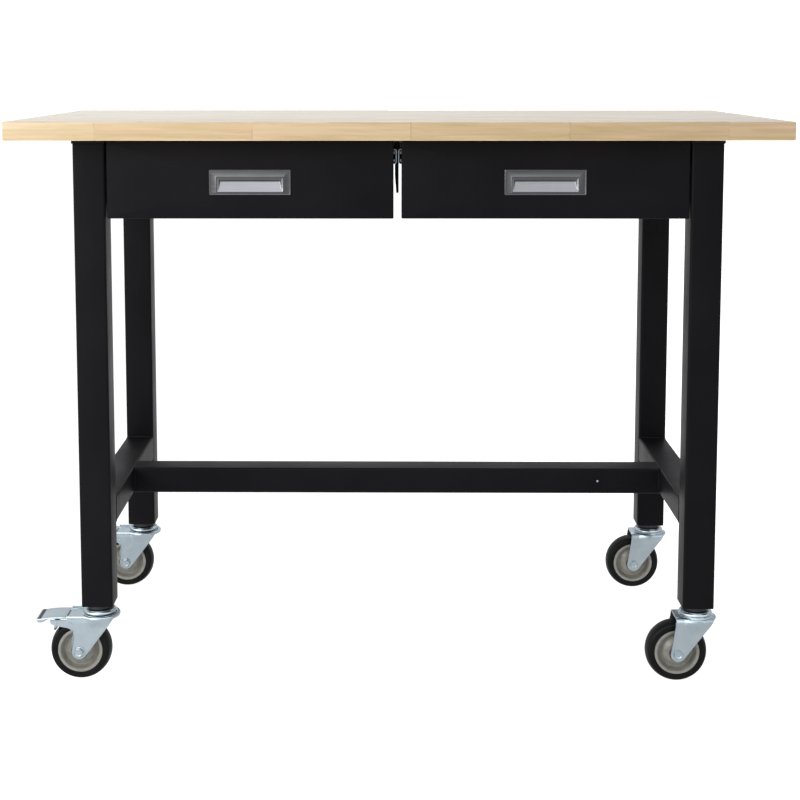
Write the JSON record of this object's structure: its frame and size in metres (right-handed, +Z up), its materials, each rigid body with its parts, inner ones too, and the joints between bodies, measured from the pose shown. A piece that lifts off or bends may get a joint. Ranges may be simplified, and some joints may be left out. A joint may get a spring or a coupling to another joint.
{
  "type": "workbench with drawers",
  "caption": "Mobile workbench: laminated wood top on a black steel H-frame with side-by-side drawers on ball slides, recessed pulls and swivel casters, the left ones braked",
  "frame": {"origin": "on the floor, under the middle of the wood top", "axes": "+X to the user's right along the top, +Y away from the user, +Z up; the drawers open towards -Y"},
  "size_m": [1.2192, 0.6096, 0.9162],
  "materials": {
    "laminated_wood": "edge-glued light hardwood staves, satin lacquer",
    "black_powder_coat": "fine black powder coat on steel",
    "satin_metal": "satin pressed metal",
    "zinc_plate": "bright zinc plate on pressed steel",
    "black_rubber": "smooth black rubber tread",
    "grey_plastic": "moulded warm grey plastic",
    "black_nylon": "moulded black nylon"
  },
  "bodies": {
    "frame": {"worktop": "laminated_wood", "leg_front_left": "black_powder_coat", "leg_front_right": "black_powder_coat", "leg_rear_left": "black_powder_coat", "leg_rear_right": "black_powder_coat", "side_rail_left": "black_powder_coat", "side_rail_right": "black_powder_coat", "stretcher": "black_powder_coat", "upper_rail_left": "black_powder_coat", "upper_rail_right": "black_powder_coat", "upper_rail_rear": "black_powder_coat", "drawer_hanger": "black_powder_coat", "slide_left_outer_fixed": "zinc_plate", "slide_left_inner_fixed": "zinc_plate", "slide_right_outer_fixed": "zinc_plate", "slide_right_inner_fixed": "zinc_plate", "insert_front_left": "black_nylon", "race_front_left": "zinc_plate", "stem_front_left": "zinc_plate", "insert_front_right": "black_nylon", "race_front_right": "zinc_plate", "stem_front_right": "zinc_plate", "insert_rear_left": "black_nylon", "race_rear_left": "zinc_plate", "stem_rear_left": "zinc_plate", "insert_rear_right": "black_nylon", "race_rear_right": "zinc_plate", "stem_rear_right": "zinc_plate"},
    "drawer_left": {"drawer_left_box": "black_powder_coat", "drawer_left_front": "black_powder_coat", "drawer_left_pull": "satin_metal", "slide_left_outer_moving": "zinc_plate", "slide_left_inner_moving": "zinc_plate"},
    "drawer_right": {"drawer_right_box": "black_powder_coat", "drawer_right_front": "black_powder_coat", "drawer_right_pull": "satin_metal", "slide_right_outer_moving": "zinc_plate", "slide_right_inner_moving": "zinc_plate"},
    "fork_front_left": {"fork_front_left": "zinc_plate", "axle_front_left": "zinc_plate", "brake_pin_front_left": "zinc_plate"},
    "wheel_front_left": {"hub_front_left": "grey_plastic", "tyre_front_left": "black_rubber"},
    "pedal_front_left": {"brake_pedal_front_left": "zinc_plate"},
    "fork_front_right": {"fork_front_right": "zinc_plate", "axle_front_right": "zinc_plate"},
    "wheel_front_right": {"hub_front_right": "grey_plastic", "tyre_front_right": "black_rubber"},
    "fork_rear_left": {"fork_rear_left": "zinc_plate", "axle_rear_left": "zinc_plate", "brake_pin_rear_left": "zinc_plate"},
    "wheel_rear_left": {"hub_rear_left": "grey_plastic", "tyre_rear_left": "black_rubber"},
    "pedal_rear_left": {"brake_pedal_rear_left": "zinc_plate"},
    "fork_rear_right": {"fork_rear_right": "zinc_plate", "axle_rear_right": "zinc_plate"},
    "wheel_rear_right": {"hub_rear_right": "grey_plastic", "tyre_rear_right": "black_rubber"}
  },
  "joints": [
    {"name": "drawer_left_slide", "type": "slide", "parent": "frame", "child": "drawer_left", "axis": [0, -1, 0], "range_m": [0, 0.3]},
    {"name": "drawer_right_slide", "type": "slide", "parent": "frame", "child": "drawer_right", "axis": [0, -1, 0], "range_m": [0, 0.3]},
    {"name": "caster_front_left_swivel", "type": "hinge", "parent": "frame", "child": "fork_front_left", "pos_m": [-0.4877, -0.2249, 0.1102], "axis": [0, 0, 1], "continuous": true},
    {"name": "wheel_front_left_spin", "type": "hinge", "parent": "fork_front_left", "child": "wheel_front_left", "pos_m": [-0.5187, -0.2249, 0.05], "axis": [0, 1, 0], "continuous": true},
    {"name": "brake_front_left_pedal", "type": "hinge", "parent": "fork_front_left", "child": "pedal_front_left", "pos_m": [-0.5562, -0.2249, 0.0986], "axis": [0, -1, 0], "range_deg": [0, 10]},
    {"name": "caster_front_right_swivel", "type": "hinge", "parent": "frame", "child": "fork_front_right", "pos_m": [0.4877, -0.2249, 0.1102], "axis": [0, 0, 1], "continuous": true},
    {"name": "wheel_front_right_spin", "type": "hinge", "parent": "fork_front_right", "child": "wheel_front_right", "pos_m": [0.4567, -0.2249, 0.05], "axis": [0, 1, 0], "continuous": true},
    {"name": "caster_rear_left_swivel", "type": "hinge", "parent": "frame", "child": "fork_rear_left", "pos_m": [-0.4877, 0.2249, 0.1102], "axis": [0, 0, 1], "continuous": true},
    {"name": "wheel_rear_left_spin", "type": "hinge", "parent": "fork_rear_left", "child": "wheel_rear_left", "pos_m": [-0.5187, 0.2249, 0.05], "axis": [0, 1, 0], "continuous": true},
    {"name": "brake_rear_left_pedal", "type": "hinge", "parent": "fork_rear_left", "child": "pedal_rear_left", "pos_m": [-0.5562, 0.2249, 0.0986], "axis": [0, -1, 0], "range_deg": [0, 10]},
    {"name": "caster_rear_right_swivel", "type": "hinge", "parent": "frame", "child": "fork_rear_right", "pos_m": [0.4877, 0.2249, 0.1102], "axis": [0, 0, 1], "continuous": true},
    {"name": "wheel_rear_right_spin", "type": "hinge", "parent": "fork_rear_right", "child": "wheel_rear_right", "pos_m": [0.4567, 0.2249, 0.05], "axis": [0, 1, 0], "continuous": true}
  ]
}
